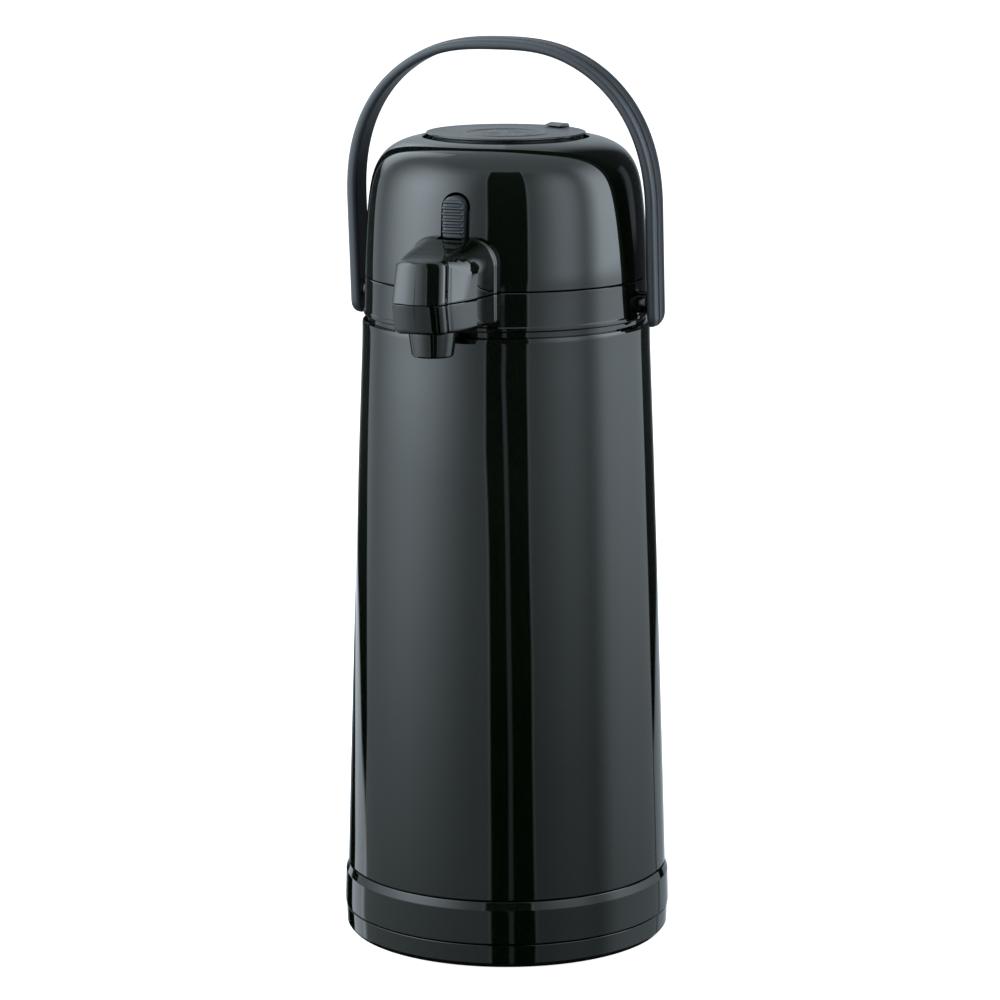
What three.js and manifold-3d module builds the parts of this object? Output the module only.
// Push-button thermal coffee airpot: swivel base, tapered casing, glass vacuum liner,
// hinged pump lid and bail handle. Millimetres, +Z up. The origin is on the pot's axis, on
// the plane it rests on. The spout points to -Y and the lid hinge is at +Y.
import * as THREE from "three";
import { mergeVertices } from "three/addons/utils/BufferGeometryUtils.js";
import Module from "manifold-3d";

// ---------- driving dimensions ----------
// R is a radius from the named part's axis; TOP, BOTTOM and Z are heights.
const FOOT_R = 81.4, FOOT_TOP = 12.4;
const BAND_R = 82, BAND_BOTTOM = 13, BAND_STEP = 30.1, BAND_TOP = 33.9;
const SHELL_BOTTOM = 34.4, SHELL_TOP = 309.8, SHELL_WALL = 2;
const SHELL_BOTTOM_R = 80.3, SHELL_MID_R = 74.33, SHELL_NECK_R = 71;
const SHELL_MID_Z = 213, SHELL_NECK_Z = 298.7;
const COLLAR_R = 70.4, COLLAR_BOTTOM = 312.6;
const SEAM_Z = 331.5; // plane where the lid opens
const LID_BOTTOM = 332, LID_TOP = 399.8;
const WELL_R = 40.8, WELL_FLOOR = 370; // button well in the lid
const BUTTON_R = 39.4, BUTTON_TOP = 402;
const LINER_R = 67, LINER_BOTTOM = 42, LINER_LIP = 315.5;
const LINER_BASE_Z = 92; // centre height of the liner's rounded bottom
const NOZZLE_Y = -97, NOZZLE_BOTTOM = 304.8;
const PIPE_Z = 325.3, PIPE_START_Y = -19.4, PIPE_END_Z = 312.4, PIPE_BEND_R = 5.4;
const PIVOT_Z = 321, PIVOT = [0, PIVOT_Z]; // handle pivot axis, along X, as [y, z]
const HINGE_Y = 76, HINGE_Z = 330, HINGE = [HINGE_Y, HINGE_Z]; // lid hinge axis, along X
const HINGE_PIN_R = 2, HINGE_BORE_R = 2.3, HINGE_EYE_FACETS = 20;
const SHELL_FACETS = 28; // facets round the large shells

const wasm = await Module();
wasm.setup();

// ---------- shape helpers ----------
const radians = THREE.MathUtils.degToRad;
const clamp = THREE.MathUtils.clamp;
const fractions = (steps) => Array.from({ length: steps + 1 }, (_, i) => i / steps);

// Welds a closed geometry into a manifold solid, turning it outward if it is inside out.
function solid(geometry) {
  geometry.deleteAttribute("normal");
  geometry.deleteAttribute("uv");
  const welded = mergeVertices(geometry, 1e-4);
  const index = welded.index.array;
  const triangles = [];
  for (let i = 0; i < index.length; i += 3) {
    const [a, b, c] = [index[i], index[i + 1], index[i + 2]];
    if (a !== b && b !== c && a !== c) triangles.push([a, b, c]);
  }
  const build = (faces) =>
    new wasm.Manifold(
      new wasm.Mesh({
        numProp: 3,
        vertProperties: new Float32Array(welded.attributes.position.array),
        triVerts: new Uint32Array(faces.flat()),
      }),
    );
  const built = build(triangles);
  return built.volume() >= 0 ? built : build(triangles.map(([a, b, c]) => [a, c, b]));
}

function geometryOf(shape) {
  const mesh = shape.getMesh();
  const stride = mesh.numProp;
  const positions = new Float32Array(mesh.numVert * 3);
  for (let i = 0; i < mesh.numVert; i++) {
    positions.set(mesh.vertProperties.subarray(i * stride, i * stride + 3), i * 3);
  }
  const geometry = new THREE.BufferGeometry();
  geometry.setAttribute("position", new THREE.BufferAttribute(positions, 3));
  geometry.setIndex(new THREE.BufferAttribute(new Uint32Array(mesh.triVerts), 1));
  geometry.computeVertexNormals();
  return geometry;
}

// A profile of [radius, z] points turned about Z: from axis to axis, or a closed ring.
function turned(profile, facets = SHELL_FACETS) {
  const points = profile.map(([r, z]) => new THREE.Vector2(r, z));
  const onAxis = profile[0][0] === 0 && profile[profile.length - 1][0] === 0;
  if (!onAxis) points.push(points[0].clone());
  return solid(new THREE.LatheGeometry(points, facets).rotateX(Math.PI / 2));
}

const ring = (inner, outer, [z0, z1], facets) =>
  turned([[inner, z0], [outer, z0], [outer, z1], [inner, z1]], facets);

// Rods: radius, [start, end] along the named axis, then the axis' place in the other two.
const cylinder = (r, [start, end], facets) => new THREE.CylinderGeometry(r, r, end - start, facets);
const middle = ([start, end]) => (start + end) / 2;
const rodX = (r, xs, [y, z], facets = 16) =>
  solid(cylinder(r, xs, facets).rotateZ(Math.PI / 2).translate(middle(xs), y, z));
const rodY = (r, ys, [x, z], facets = 24) =>
  solid(cylinder(r, ys, facets).translate(x, middle(ys), z));
const rodZ = (r, zs, [x, y], facets = 24) =>
  solid(cylinder(r, zs, facets).rotateX(Math.PI / 2).translate(x, y, middle(zs)));

// A box from its [low, high] ranges.
function block(xs, ys, zs) {
  const size = [xs, ys, zs].map(([low, high]) => high - low);
  return solid(new THREE.BoxGeometry(...size).translate(...[xs, ys, zs].map(middle)));
}

const AXIS = [0, 0];
const either = (half) => [-half, half];
const LEFT = -1, RIGHT = 1; // -X and +X
const onSide = (side, near, far) => (side > 0 ? [near, far] : [-far, -near]);
const join = (...shapes) => shapes.reduce((a, b) => a.add(b));
const cut = (shape, ...tools) => tools.reduce((a, b) => a.subtract(b), shape);

const polar = (r, angle) => new THREE.Vector2(r * Math.cos(angle), r * Math.sin(angle));

function closedPath(path, points) {
  path.setFromPoints(points);
  path.closePath();
  return path;
}

const polygon = (path, r, sides) =>
  closedPath(path, fractions(sides).slice(0, -1).map((u) => polar(r, u * 2 * Math.PI)));

const swept = (shape, extrudePath, steps) =>
  solid(new THREE.ExtrudeGeometry(shape, { steps, extrudePath, bevelEnabled: false }));

// A coil spring of square-section wire, standing along Z.
function coil({ radius, wireRadius, heights: [z0, z1], turns, stepsPerTurn, y = 0 }) {
  const steps = Math.round(turns * stepsPerTurn);
  const points = fractions(steps).map((u, i) => {
    const { x, y: dy } = polar(radius, (i / stepsPerTurn) * 2 * Math.PI);
    return new THREE.Vector3(x, y + dy, z0 + (z1 - z0) * u);
  });
  const section = polygon(new THREE.Shape(), wireRadius, 4);
  return swept(section, new THREE.CatmullRomCurve3(points), steps);
}

// A closed skin over a stack of outlines with the same number of points.
function loft(outlines) {
  const count = outlines[0].length;
  const positions = outlines.flat(2);
  const faces = [];
  for (let i = 0; i < outlines.length - 1; i++) {
    for (let j = 0; j < count; j++) {
      const a = i * count + j;
      const b = i * count + ((j + 1) % count);
      faces.push(a, b, a + count, b, b + count, a + count);
    }
  }
  // Each end is a fan about the mean of its outline.
  for (const end of [0, outlines.length - 1]) {
    const centre = positions.length / 3;
    for (let k = 0; k < 3; k++) {
      positions.push(outlines[end].reduce((sum, point) => sum + point[k], 0) / count);
    }
    for (let j = 0; j < count; j++) {
      const a = end * count + j;
      const b = end * count + ((j + 1) % count);
      if (end === 0) faces.push(centre, b, a);
      else faces.push(centre, a, b);
    }
  }
  const geometry = new THREE.BufferGeometry();
  geometry.setAttribute("position", new THREE.BufferAttribute(new Float32Array(positions), 3));
  geometry.setIndex(faces);
  return solid(geometry);
}

// Profile points on an ellipse: centre, [radial, vertical] half axes, angles in degrees.
const ellipseArc = ([centreR, centreZ], [a, b], from, to, steps = 3) =>
  fractions(steps).map((u) => {
    const angle = radians(from + (to - from) * u);
    return [centreR + a * Math.cos(angle), centreZ + b * Math.sin(angle)];
  });

// ---------- swivel base ----------
// Dished foot with a bearing groove on top and a groove beneath for the nonslip ring.
const swivelFoot = cut(
  turned([
    [5, 3.8], [62, 3.8], [64, 0.7], [79.9, 0.7], [FOOT_R, 2.6], [FOOT_R, FOOT_TOP],
    [78.4, FOOT_TOP], [78.2, 6.4], [75, 6.4], [75, 9.4], [69, 9.4], [69, 6.4], [5, 6.4],
  ]),
  ring(68.2, 76.8, [-1, 2.9]),
);
const nonslipRing = ring(68.6, 76.4, [0, 2.6]);
const bearingRing = ring(69.4, 74.6, [9.7, 12.3]);
const boltCover = turned([[0, 0], [13, 0], [13, 3.5], [10.4, 3.5], [10.4, 0.6], [0, 0.6]], 20);
const swivelBolt = turned([[0, 0.9], [7.6, 0.9], [7.6, 2.9], [3.8, 2.9], [3.8, 25], [0, 25]], 16);
const swivelWasher = ring(4.4, 9.6, [3.1, 3.6], 16);

// ---------- casing and liner ----------
// Band under the casing, with its floor, the bolt sleeve and the adjuster's sleeve.
const baseBand = turned([
  [4.3, 15], [66, 15], [68, BAND_BOTTOM], [BAND_R, BAND_BOTTOM], [BAND_R, 16],
  [81.6, BAND_STEP], [80.4, BAND_TOP], [77.4, BAND_TOP], [77.4, 44], [75.6, 44],
  [75.6, 30.5], [79.2, 28], [79.2, 18], [22, 18], [22, 27.6], [18.9, 27.6], [18.9, 18],
  [10, 18], [10, 26], [4.3, 26],
]);

const bodyShell = turned([
  // outer face, upward
  [SHELL_BOTTOM_R, SHELL_BOTTOM], [78.58, 89.4], [76.49, 151.6], [SHELL_MID_R, SHELL_MID_Z],
  [72.31, 268.6], [71.05, SHELL_NECK_Z], [SHELL_NECK_R, SHELL_TOP - 0.6], [70.4, SHELL_TOP],
  // inner face, downward
  [SHELL_NECK_R - SHELL_WALL, SHELL_TOP], [SHELL_NECK_R - SHELL_WALL, SHELL_NECK_Z],
  [SHELL_MID_R - SHELL_WALL, SHELL_MID_Z], [SHELL_BOTTOM_R - SHELL_WALL, SHELL_BOTTOM],
]);

const linerAdjuster = turned(
  [[12, 19], [18.5, 19], [18.5, 28.1], [27, 28.1], [27, 30.6], [12, 30.6]],
  32,
);
const linerCup = turned(
  [[14, 31], [44, 31], [50, 38], [50, 46], [47.2, 46], [47.2, 38], [43, 34.6], [14, 34.6]],
  24,
);
const linerCushion = turned(
  [[20, 35], [42.8, 35], [46.8, 39], [46.8, 54], [44, 53.6], [38, 50.1], [30, 46.6], [20, 43.9]],
  24,
);

// Double-walled bottle, its vacuum gap opening through a small hole under the bottom.
const glassLiner = turned(
  [
    // inner wall, the face towards the drink, upward
    [0, LINER_BOTTOM + 9.6],
    ...ellipseArc([0, LINER_BASE_Z], [60.9, 40.4], -68, 0),
    ...ellipseArc([27.2, 256], [33.7, 34.4], 0, 90),
    [27.2, 313.8], [28.4, LINER_LIP], [30.4, LINER_LIP], [31.2, 313.8],
    // outer wall, outside face, downward
    ...ellipseArc([31.2, 262], [35.8, 37], 90, 0),
    ...ellipseArc([0, LINER_BASE_Z], [LINER_R, LINER_BASE_Z - LINER_BOTTOM], 0, -68),
    [2.2, LINER_BOTTOM], [2.2, LINER_BOTTOM + 1.6],
    // outer wall, gap face, upward
    ...ellipseArc([0, LINER_BASE_Z], [65.4, 48.4], -68, 0),
    ...ellipseArc([29.8, 262], [35.6, 35.5], 0, 90),
    [29.8, 312], [28.7, 312],
    // inner wall, gap face, downward
    ...ellipseArc([28.7, 256], [33.8, 36], 90, 0),
    ...ellipseArc([0, LINER_BASE_Z], [62.5, 42], 0, -68),
    [0, LINER_BOTTOM + 8],
  ],
  20,
);
const linerNeckGasket = turned([[31.6, 303], [35, 303], [35.4, 316], [31.8, 316]], 24);

// ---------- collar ----------
const collarBody = turned([
  [36, 316.4], [66.4, 316.4], [66.4, 301], [68.5, 301], [68.5, 312.4], [69.6, COLLAR_BOTTOM],
  [COLLAR_R, 313.6], [COLLAR_R, 314.6], [69.9, 315.4], [69.6, SEAM_Z - 0.5], [69.2, SEAM_Z],
  [66.6, SEAM_Z], [66.4, 319.4], [36, 319.4],
]);
const collarInside = turned([[0, 319.5], [66.35, 319.5], [66.55, 345], [0, 345]]);
const pivotBoss = (side) => rodX(5.4, onSide(side, 67.5, 74.5), PIVOT, 20);

function hingeEar(side) {
  const xs = onSide(side, 9.2, 16);
  return join(
    rodX(5, xs, HINGE, HINGE_EYE_FACETS),
    block(xs, [67.5, HINGE_Y], [320, HINGE_Z]),
    block(xs, [67.5, HINGE_Y + 3], [322, HINGE_Z]),
  );
}

const collarRing = cut(
  join(
    collarBody, pivotBoss(RIGHT), pivotBoss(LEFT),
    cut(join(hingeEar(RIGHT), hingeEar(LEFT)), collarInside),
  ),
  block(either(5.2), [-80, -60], [320.4, 340]), // front notch
  ...[RIGHT, LEFT].map((side) => rodX(3.75, onSide(side, 60, 80), PIVOT)), // pin bores
  ...[RIGHT, LEFT].map((side) => rodX(6.4, onSide(side, 60, 66.35), PIVOT)), // clip recesses
  rodX(HINGE_BORE_R, either(20), HINGE),
  block(either(8.9), [70.6, 90], [318, 345]), // gap between the hinge ears
);
const hingePin = rodX(HINGE_PIN_R, either(16.6), HINGE);

// ---------- liquid path ----------
const stemGasket = ring(24, 31, [315.9, 318], 24);
const stemHead = cut(
  turned([
    [0, 290], [9.4, 290], [9.4, 318.3], [31, 318.3], [31, 320.4], [19, 320.4], [19, 330], [0, 330],
  ], 24),
  rodZ(7, [297.8, 314], AXIS, 12), // ball chamber
  rodZ(4.9, [280, 298], AXIS, 12), // socket for the siphon tube
  rodZ(3, [313, PIPE_Z + 3], AXIS, 8),
  rodY(3, [-30, 0], [0, PIPE_Z], 8), // passage to the discharge pipe
  rodZ(3, [300, 340], [0, 13], 8), // vertical through hole behind the axis
);
const siphonTube = ring(3.3, 4.5, [62, 297.4], 12);
const tubeStrainer = cut(
  turned([
    [0, 56], [6.9, 56], [6.9, 72], [4.9, 72], [4.9, 61.6], [3.4, 61.6], [3.4, 58], [0, 58],
  ], 12),
  block(either(9), either(1), [55, 60.5]),
  block(either(1), either(9), [58.5, 60.5]),
);
const BALL_CENTRE = [0, 0, 302.5];
const tipoverBall = solid(new THREE.IcosahedronGeometry(5.5, 2).translate(...BALL_CENTRE));

// Straight run to -Y, tight bend, short drop. Stations are shared out by share of the path
// parameter, not by length, so that the sweep's steps fall on the bend.
class PipeRun extends THREE.Curve {
  static BEND_FROM = 0.2;
  static BEND_TO = 0.8;

  bendAngle(t) {
    const { BEND_FROM, BEND_TO } = PipeRun;
    return ((t - BEND_FROM) / (BEND_TO - BEND_FROM)) * (Math.PI / 2);
  }

  getPointAt(t) {
    const { BEND_FROM, BEND_TO } = PipeRun;
    const { lerp } = THREE.MathUtils;
    const bendY = NOZZLE_Y + PIPE_BEND_R;
    const bendZ = PIPE_Z - PIPE_BEND_R;
    if (t < BEND_FROM) {
      return new THREE.Vector3(0, lerp(PIPE_START_Y, bendY, t / BEND_FROM), PIPE_Z);
    }
    if (t < BEND_TO) {
      const { x: up, y: forward } = polar(PIPE_BEND_R, this.bendAngle(t));
      return new THREE.Vector3(0, bendY - forward, bendZ + up);
    }
    const drop = (t - BEND_TO) / (1 - BEND_TO);
    return new THREE.Vector3(0, NOZZLE_Y, lerp(bendZ, PIPE_END_Z, drop));
  }

  getTangentAt(t) {
    if (t <= PipeRun.BEND_FROM) return new THREE.Vector3(0, -1, 0);
    if (t >= PipeRun.BEND_TO) return new THREE.Vector3(0, 0, -1);
    const angle = this.bendAngle(t);
    return new THREE.Vector3(0, -Math.cos(angle), -Math.sin(angle));
  }
}
const pipeSection = polygon(new THREE.Shape(), 4, 12);
pipeSection.holes.push(polygon(new THREE.Path(), 2.8, 12));
const dischargePipe = swept(pipeSection, new PipeRun(), 5);

const nozzle = turned([
  [7.6, NOZZLE_BOTTOM], [8.9, NOZZLE_BOTTOM], [9.4, NOZZLE_BOTTOM + 0.5], [10.75, 315],
  [10.75, 317.4], [4.6, 317.4], [4.6, 311.5], [6.9, 309.5],
], 24).translate([0, NOZZLE_Y, 0]);
const nozzleSeal = ring(4.5, 7.6, [317.7, 319.3], 16).translate([0, NOZZLE_Y, 0]);

// ---------- spout nose ----------
// Stations from the front cap back into the pot:
// y, half width, top z, bottom z, top corner radius, bottom corner radius.
const NOSE_STATIONS = [
  [-120.2, 1.5, 350.2, 318.9, 1, 1], [-120, 3.4, 350.7, 318.4, 1.5, 1.5],
  [-119.43, 6.2, 351.3, 318, 2.4, 2], [-118.5, 9.1, 351.6, 317.6, 3, 2.2],
  [-117.23, 11.6, 351.7, 317.4, 3.2, 2.2], [-116.2, 12.6, 351.7, 317.4, 3.2, 2.2],
  [-114.46, 13.2, 351.7, 317.4, 3.2, 2.2], [-111, 13.3, 351.9, 317.4, 3.4, 2.2],
  [-106, 15.4, 352.4, 317.4, 5.2, 2.2], [-101, 17.3, 353.1, 317.4, 7.4, 2.2],
  [-96, 18.6, 353.9, 317.4, 9.2, 2.2], [-91, 19.6, 354.8, 317.4, 10.5, 2.2],
  [-86, 20.3, 355.7, 317.4, 11.3, 2.2], [-81, 20.8, 356.7, 317.4, 12, 2.2],
  [-76.5, 21.1, 357.5, 317.4, 12.2, 2.2], [-73.8, 22, 358, 317.4, 12.4, 2.2],
  [-72.9, 22.1, 358.2, 317.4, 12.4, 2.2], [-60, 22.1, 358.2, 317.4, 12.4, 2.2],
];
const NOSE_WALL = 2;
const LEAN_TOP = 3.7 / 19, UNDERCUT = 0.21; // slope back above and below the seam, mm per mm
const LEAN_START_Y = -72.6, LEAN_FULL_Y = -112; // the slope grows between these
const WRAP_R = 70; // the back stations curve round the pot at this radius

function noseOutline([y, stationHalf, stationTop, stationBottom, topR, bottomR], inset) {
  const half = stationHalf - inset;
  const top = stationTop - inset;
  const bottom = stationBottom + inset;
  const cornerRadius = (r) => Math.min(Math.max(r - inset, 0.6), half * 0.9);
  const corner = (r, z, from) =>
    ellipseArc([half - r, z], [r, r], from, from + 90, 2);
  const rt = cornerRadius(topR);
  const rb = cornerRadius(bottomR);
  const right = [
    ...corner(rb, bottom + rb, -90), [half, bottom + (top - bottom) * 0.4],
    ...corner(rt, top - rt, 0),
  ];
  const left = right.map(([x, z]) => [-x, z]).reverse();

  const leanShare = clamp((LEAN_START_Y - y) / (LEAN_START_Y - LEAN_FULL_Y), 0, 1);
  const wrapShare = clamp((y + 90) / 15, 0, 1);
  const frontWall = y < -112 ? inset : 0;
  return [[0, bottom], ...right, [0, top], ...left].map(([x, z]) => {
    const lean = z > SEAM_Z ? LEAN_TOP * (z - SEAM_Z) : UNDERCUT * (SEAM_Z - z);
    const wrap = WRAP_R - Math.sqrt(WRAP_R * WRAP_R - x * x);
    return [x, y + leanShare * lean + wrapShare * wrap + frontWall, z];
  });
}

const noseSkin = loft(NOSE_STATIONS.map((station) => noseOutline(station, 0)));
// The hollow leaves out the front cap and runs on past the skin's back end.
const noseHollow = loft(
  NOSE_STATIONS.filter(([y]) => y > -117.5).map(([y, half, top, ...rest]) =>
    noseOutline([y > -61 ? -52 : y, Math.min(half, 17.5), Math.min(top, 356), ...rest], NOSE_WALL),
  ),
);
// Pot and lid outline with a small clearance, cut from the nose.
const potSide = turned([
  [0, 300], [71.4, 300], [71.4, 310.4], [COLLAR_R + 0.3, 312], [COLLAR_R + 0.3, 315],
  [70.1, 316], [69.9, SEAM_Z + 0.2], [69.8, 343], [68.6, 360], [67.6, 372], [0, 372],
]);
const noseWall = cut(noseSkin, noseHollow, potSide);
const nosePart = (zs) => noseWall.intersect(block(either(40), [-130, -40], zs));
const spoutLowerCover = cut(nosePart([300, SEAM_Z]), rodZ(11.2, [300, 324], [0, NOZZLE_Y]));
const spoutUpperCover = cut(
  nosePart([LID_BOTTOM, 380]),
  block(either(6.2), [-90, -50], [357, 384]), // way for the latch slider
);

// ---------- lid ----------
const LID_SCREW_PITCH_R = 45.6;
const LID_SCREWS = [
  ["left", [-LID_SCREW_PITCH_R, 0]],
  ["right", [LID_SCREW_PITCH_R, 0]],
  ["front", [0, -LID_SCREW_PITCH_R]],
];
const lidScrewRods = (r, zs, facets) => LID_SCREWS.map(([, place]) => rodZ(r, zs, place, facets));

const SLOT_HALF = 6.75, SLOT_ARC_Z = 371.9, SLOT_YS = [-90, -58]; // round-topped latch slot
const latchSlot = join(
  block(either(SLOT_HALF), SLOT_YS, [354.5, SLOT_ARC_Z]),
  rodY(SLOT_HALF, SLOT_YS, [0, SLOT_ARC_Z], 28),
);
const lidShell = cut(
  join(
    turned([
      // outer face, upward
      [69.5, LID_BOTTOM], [69.3, 343], [68.3, 360], [67.3, 372], [65.5, 381], [62, 388.5],
      [57, 394], [50, 397.8], [43, LID_TOP - 0.2], [42, LID_TOP],
      // button well
      [41.2, 399.4], [WELL_R, 398.8], [WELL_R, WELL_FLOOR], [37.4, WELL_FLOOR],
      [37.4, WELL_FLOOR - 2], [42.8, WELL_FLOOR - 2],
      // inner face, downward
      [42.8, 397], [50, 395.4], [55.6, 392], [60, 387], [63.2, 380], [64.9, 372],
      [65.9, 360], [67, 343], [67.1, LID_BOTTOM],
    ]),
    ...lidScrewRods(4, [336.6, 372], 12), // screw posts
  ),
  latchSlot,
  ...lidScrewRods(1.9, [330, 350], 8),
);
const lidBottomPlate = cut(
  turned([
    [0, 333], [65.6, 333], [65.6, 338], [63.6, 338], [63.6, 336.2], [35.6, 336.2],
    [35.6, 339], [33.8, 339], [33.8, 336.2], [0, 336.2],
  ], 24),
  rodZ(2.5, [330, 340], [0, -4.5], 8),
  rodZ(2.5, [330, 340], [0, 4.5], 8),
  ...lidScrewRods(1.95, [330, 340], 8),
  block(either(8), [-70, -60], [330, 340]), // front notch, under the latch
);
const lidScrew = ([x, y]) =>
  turned([
    [0, 330.6], [3.5, 330.6], [3.5, 332.7], [1.5, 332.7], [1.5, 348], [0, 349.5],
  ], 8).translate([x, y, 0]);
const airPacking = turned([[10.5, 330.4], [17.5, 330.4], [16.5, 332.7], [11.5, 332.7]], 20);
const airValve = turned([[0, 331.7], [9, 331.7], [9, 332.7], [0, 332.7]], 16);

const BELLOWS_WALL = 1.2, BELLOWS_BOTTOM = 336.6, BELLOWS_TOP = 379.6, BELLOWS_FOLDS = 4;
const bellowsOuter = fractions(2 * BELLOWS_FOLDS).map((u, i) => [
  i % 2 ? 27.2 : 33.2,
  BELLOWS_BOTTOM + (BELLOWS_TOP - BELLOWS_BOTTOM) * u,
]);
const bellowsInner = bellowsOuter.map(([r, z]) => [r - BELLOWS_WALL, z]).reverse();
const bellows = turned([...bellowsOuter, ...bellowsInner], 20);
const bellowsSpring = coil({
  radius: 19, wireRadius: 1.1, heights: [338.2, 378.3], turns: 5, stepsPerTurn: 9,
});
const bellowsTopPlate = turned([[0, 380], [33.4, 380], [33.4, 383.2], [0, 383.2]], 24);

// Round-topped slider with seven ribs on its front face and a tongue behind the lid wall.
const LATCH_HALF = 5.5, LATCH_ARC = [0, 371.3]; // centre of the round top, as [x, z]
const RIB_PITCH = 2.35, RIB_BOTTOM = 359.4, RIB_HEIGHT = 1.3;
function latchRib(i) {
  const bottom = RIB_BOTTOM + RIB_PITCH * i;
  const rib = block(either(LATCH_HALF), [-72.2, -71.2], [bottom, bottom + RIB_HEIGHT]);
  // The top two ribs are trimmed to the round top.
  return i < 5 ? rib : rib.intersect(rodY(LATCH_HALF, [-80, -60], LATCH_ARC));
}
const latchSlider = cut(
  join(
    block(either(LATCH_HALF), [-71.4, -63], [357.3, 371.4]),
    cut(
      rodY(LATCH_HALF, [-71.4, -64.6], LATCH_ARC, 20),
      block(either(6), [-80, -60], [357, LATCH_ARC[1]]),
    ),
    block(either(7.8), [-63.5, -60.2], [340.5, 370]),
    ...[0, 1, 2, 3, 4, 5, 6].map(latchRib),
  ),
  turned([[0, 330], [60.6, 330], [60.6, 380], [0, 380]]),
);
const LATCH_SPRING_Y = -61.9;
const latchSpring = coil({
  radius: 1.5, wireRadius: 0.3, heights: [370.8, 375.6], turns: 3, stepsPerTurn: 7,
  y: LATCH_SPRING_Y,
});

const ARM_XS = either(8.5), ARM_BACK = HINGE_Y + 4.5;
const hingeArm = cut(
  join(
    rodX(4.6, ARM_XS, HINGE, HINGE_EYE_FACETS),
    block(ARM_XS, [HINGE_Y - 0.5, ARM_BACK], [HINGE_Z, 341]),
    block(ARM_XS, [65, ARM_BACK], [334.6, 343]),
  ),
  rodX(HINGE_BORE_R, either(12), HINGE),
  turned([[0, 320], [69.8, 320], [69.8, 343], [69.6, 350], [0, 350]]),
);

// ---------- button ----------
// The lock ring's tab stands in a slot that lets it turn. Angles in degrees from +X.
const TAB_ANGLE = 70, TAB_HALF = 6.6, LOCK_TURN = 25, TAB_GAP = 0.8;

function sector([inner, outer], [from, to], [z0, z1]) {
  const steps = Math.max(3, Math.ceil((to - from) / 7));
  const angles = fractions(steps).map((u) => radians(from + (to - from) * u));
  const shape = closedPath(new THREE.Shape(), [
    ...angles.map((angle) => polar(outer, angle)),
    ...[...angles].reverse().map((angle) => polar(inner, angle)),
  ]);
  const options = { depth: z1 - z0, bevelEnabled: false };
  return solid(new THREE.ExtrudeGeometry(shape, options).translate(0, 0, z0));
}

const TAB_FROM = TAB_ANGLE - TAB_HALF, TAB_TO = TAB_ANGLE + TAB_HALF;
const pushButton = cut(
  turned([
    [0, 401], [18, 401.1], [19, 401.5], [20.4, 401.5], [21.4, 401.2], [34.6, 401.6],
    [37.6, BUTTON_TOP], [39, 401.6], [BUTTON_R, 400.8], [BUTTON_R, 396.6], [35.6, 396.6],
    [35.6, 384], [33.8, 384], [33.8, 398.6], [8, 398.6], [8, 383.6], [0, 383.6],
  ]),
  sector([36, 45], [TAB_FROM - TAB_GAP, TAB_TO + LOCK_TURN + TAB_GAP], [390, 410]),
);
const lockRing = join(
  ring(36, BUTTON_R, [393, 396.2]),
  sector([36.5, BUTTON_R], [TAB_FROM, TAB_TO], [395.5, 404]),
);

// ---------- carry handle ----------
// Straight legs up to ARCH_Z, then a superelliptic arch; the whole leans about the pivots.
const ARCH_Z = 366.3, ARCH_STEPS = 24, LEAN_DEGREES = 4.27;
const OUTER_FACE = { half: 81, rise: 83.25, power: 2.28 };
const INNER_FACE = { half: 75.4, rise: 78.4, power: 2.295 };
const LEG_HALF = 8, GRIP_HALF = 8.5; // half widths of the strap along Y
// Leg stations: z, half width.
const LEG_STATIONS = [
  [309.6, LEG_HALF - 1.6], [311, LEG_HALF - 0.5], [315, LEG_HALF], [340, LEG_HALF],
  [ARCH_Z, LEG_HALF],
];
// Strap section: depth as a share from outer to inner face, y as a share of the half width.
const STRAP_SECTION = [
  [0.22, -1], [0, -0.72], [0, 0.72], [0.22, 1], [0.85, 1], [1, 0.8], [1, -0.8], [0.85, -1],
];

function archPoint({ half, rise, power }, angle) {
  const c = Math.cos(angle);
  const s = Math.sin(angle);
  return [
    half * Math.sign(c) * Math.abs(c) ** (2 / power),
    ARCH_Z + rise * Math.abs(s) ** (2 / power),
  ];
}

const strapOutline = ([outerX, outerZ], [innerX, innerZ], half) =>
  STRAP_SECTION.map(([depth, across]) => [
    outerX + (innerX - outerX) * depth,
    half * across,
    outerZ + (innerZ - outerZ) * depth,
  ]);

const leg = (side) =>
  LEG_STATIONS.map(([z, half]) =>
    strapOutline([side * OUTER_FACE.half, z], [side * INNER_FACE.half, z], half),
  );

// From the right leg over to the left, the sine term evening out the steps.
const arch = fractions(ARCH_STEPS).slice(1, -1).map((u) => {
  const angle = Math.PI * (u - 0.03 * Math.sin(4 * Math.PI * u));
  const outer = archPoint(OUTER_FACE, angle);
  const height = clamp((outer[1] - ARCH_Z) / OUTER_FACE.rise, 0, 1);
  const half = LEG_HALF + (GRIP_HALF - LEG_HALF) * height;
  return strapOutline(outer, archPoint(INNER_FACE, angle), half);
});

const carryHandle = cut(
  loft([...leg(RIGHT), ...arch, ...leg(LEFT).reverse()])
    .translate([0, 0, -PIVOT_Z])
    .rotate([LEAN_DEGREES, 0, 0])
    .translate([0, 0, PIVOT_Z]),
  ...[RIGHT, LEFT].map((side) => rodX(3.7, onSide(side, 60, 80.2), PIVOT)),
);
const handlePin = (side) => rodX(3.3, onSide(side, 63, 79.8), PIVOT);
const handleClip = (side) =>
  cut(
    rodX(6, onSide(side, 63.6, 66), PIVOT, 24),
    rodX(3.65, onSide(side, 62.6, 67), PIVOT),
  );

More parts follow.
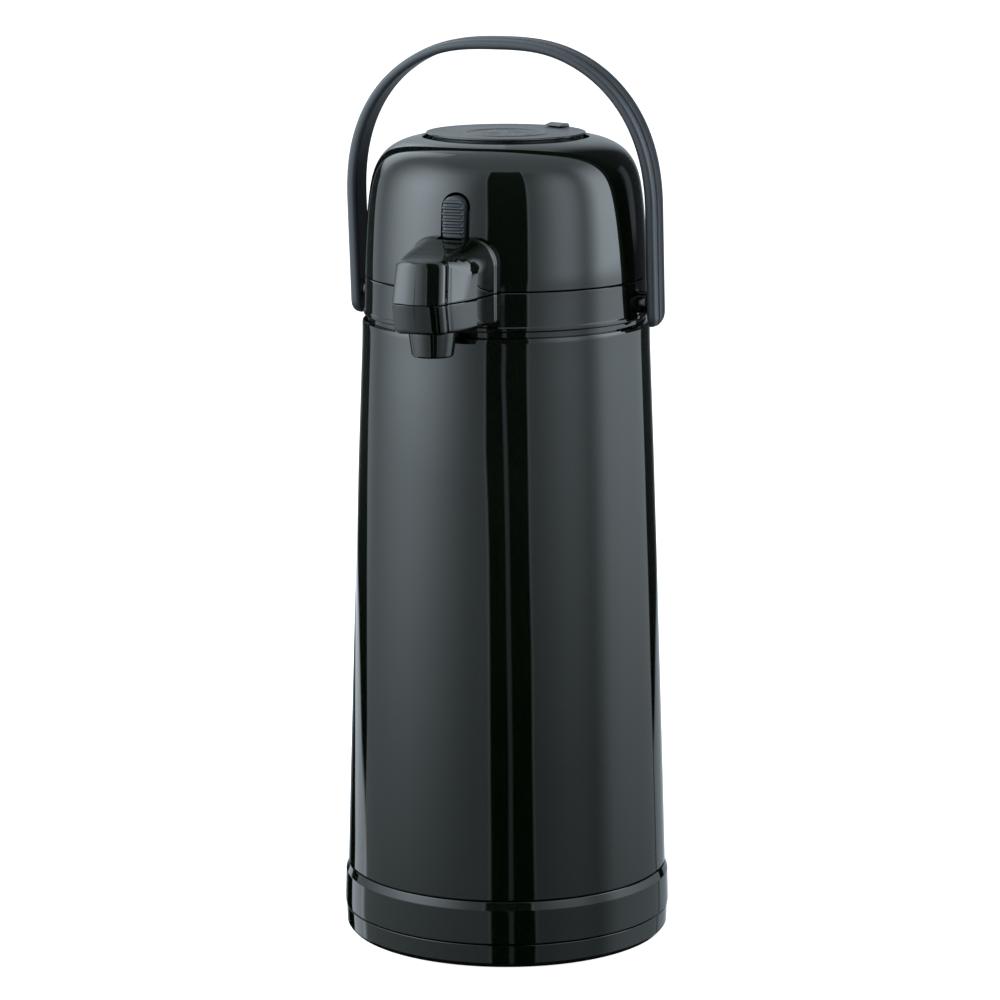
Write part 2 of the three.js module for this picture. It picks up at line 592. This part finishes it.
// ---------- materials ----------
const GLOSS = { color: 0x0b0d0e, roughness: 0.12, metalness: 0 };
const SATIN = { color: 0x1d2125, roughness: 0.45, metalness: 0 };
const BUTTON = { color: 0x191c1f, roughness: 0.4, metalness: 0 };
const RUBBER = { color: 0x151515, roughness: 0.8, metalness: 0 };
const NATURAL = { color: 0xd9d9d2, roughness: 0.5, metalness: 0 };
const GLASS = { color: 0xc4ced2, roughness: 0.05, metalness: 0.6 };
const STEEL = { color: 0xb9bcbf, roughness: 0.3, metalness: 1 };
const GREY = { color: 0x55595d, roughness: 0.5, metalness: 0 };

// ---------- scene graph ----------
// Origins are given in the pot's frame and turned into the parent's.
function place(parent, child, origin) {
  child.position.copy(parent.worldToLocal(new THREE.Vector3(...origin)));
  parent.add(child);
  return child;
}

const group = (parent, ...origin) => place(parent, new THREE.Group(), origin);

function piece(parent, name, shape, look, [x, y, z]) {
  const geometry = geometryOf(shape).translate(-x, -y, -z);
  const mesh = new THREE.Mesh(geometry, new THREE.MeshStandardMaterial(look));
  mesh.name = name;
  place(parent, mesh, [x, y, z]);
}

const airpot = new THREE.Group();

const base = group(airpot, 0, 0, 0);
piece(base, "swivel_foot", swivelFoot, GLOSS, [0, 0, 0]);
piece(base, "nonslip_ring", nonslipRing, RUBBER, [0, 0, 0]);
piece(base, "bearing_ring", bearingRing, NATURAL, [0, 0, 9.7]);
piece(base, "bolt_cover", boltCover, RUBBER, [0, 0, 0]);

const pot = group(airpot, 0, 0, BAND_BOTTOM);
piece(pot, "base_band", baseBand, GLOSS, [0, 0, BAND_BOTTOM]);
piece(pot, "swivel_bolt", swivelBolt, STEEL, [0, 0, 3]);
piece(pot, "swivel_washer", swivelWasher, STEEL, [0, 0, 3]);
piece(pot, "body_shell", bodyShell, GLOSS, [0, 0, SHELL_BOTTOM]);
piece(pot, "liner_adjuster", linerAdjuster, GREY, [0, 0, 19]);
piece(pot, "liner_cup", linerCup, GREY, [0, 0, 31]);
piece(pot, "liner_cushion", linerCushion, RUBBER, [0, 0, 35]);
piece(pot, "glass_liner", glassLiner, GLASS, [0, 0, LINER_BOTTOM]);
piece(pot, "liner_neck_gasket", linerNeckGasket, RUBBER, [0, 0, 303]);
piece(pot, "collar_ring", collarRing, GLOSS, [0, 0, COLLAR_BOTTOM]);
piece(pot, "stem_gasket", stemGasket, NATURAL, [0, 0, 316]);
piece(pot, "stem_head", stemHead, GREY, [0, 0, 318]);
piece(pot, "siphon_tube", siphonTube, NATURAL, [0, 0, 62]);
piece(pot, "tube_strainer", tubeStrainer, NATURAL, [0, 0, 56]);
piece(pot, "discharge_pipe", dischargePipe, NATURAL, [0, -20, PIPE_Z]);
piece(pot, "spout_lower_cover", spoutLowerCover, GLOSS, [0, -70, 320]);
piece(pot, "nozzle", nozzle, GLOSS, [0, NOZZLE_Y, NOZZLE_BOTTOM]);
piece(pot, "nozzle_seal", nozzleSeal, RUBBER, [0, NOZZLE_Y, 318]);
piece(pot, "hinge_pin", hingePin, STEEL, [0, ...HINGE]);
const ballSeat = group(pot, ...BALL_CENTRE);
piece(ballSeat, "tipover_ball", tipoverBall, STEEL, BALL_CENTRE);

const lid = group(pot, 0, ...HINGE);
piece(lid, "lid_shell", lidShell, GLOSS, [0, 0, LID_BOTTOM]);
piece(lid, "spout_upper_cover", spoutUpperCover, GLOSS, [0, -70, LID_BOTTOM]);
piece(lid, "lid_bottom_plate", lidBottomPlate, GREY, [0, 0, 333]);
for (const [side, at] of LID_SCREWS) {
  piece(lid, `lid_screw_${side}`, lidScrew(at), STEEL, [...at, 331]);
}
piece(lid, "air_outlet_packing", airPacking, RUBBER, [0, 0, 330.4]);
piece(lid, "bellows", bellows, NATURAL, [0, 0, BELLOWS_BOTTOM]);
piece(lid, "bellows_spring", bellowsSpring, STEEL, [0, 0, 338]);
piece(lid, "hinge_arm", hingeArm, GLOSS, [0, ...HINGE]);
piece(lid, "latch_spring", latchSpring, STEEL, [0, LATCH_SPRING_Y, 376]);
const valve = group(lid, 0, 0, 332);
piece(valve, "air_valve", airValve, RUBBER, [0, 0, 332]);
const latch = group(lid, 0, -66, 366);
piece(latch, "latch_slider", latchSlider, SATIN, [0, -66, 366]);
const button = group(lid, 0, 0, BUTTON_TOP);
piece(button, "push_button", pushButton, BUTTON, [0, 0, BUTTON_TOP]);
piece(button, "bellows_top_plate", bellowsTopPlate, GREY, [0, 0, 380]);
const lock = group(button, 0, 0, 394);
piece(lock, "lock_ring", lockRing, BUTTON, [0, 0, 394]);

const handle = group(pot, 0, ...PIVOT);
piece(handle, "carry_handle", carryHandle, SATIN, [0, ...PIVOT]);
for (const [name, side] of [["left", LEFT], ["right", RIGHT]]) {
  piece(handle, `handle_pin_${name}`, handlePin(side), STEEL, [side * 70, ...PIVOT]);
  piece(handle, `handle_clip_${name}`, handleClip(side), NATURAL, [side * 65, ...PIVOT]);
}

export default airpot;
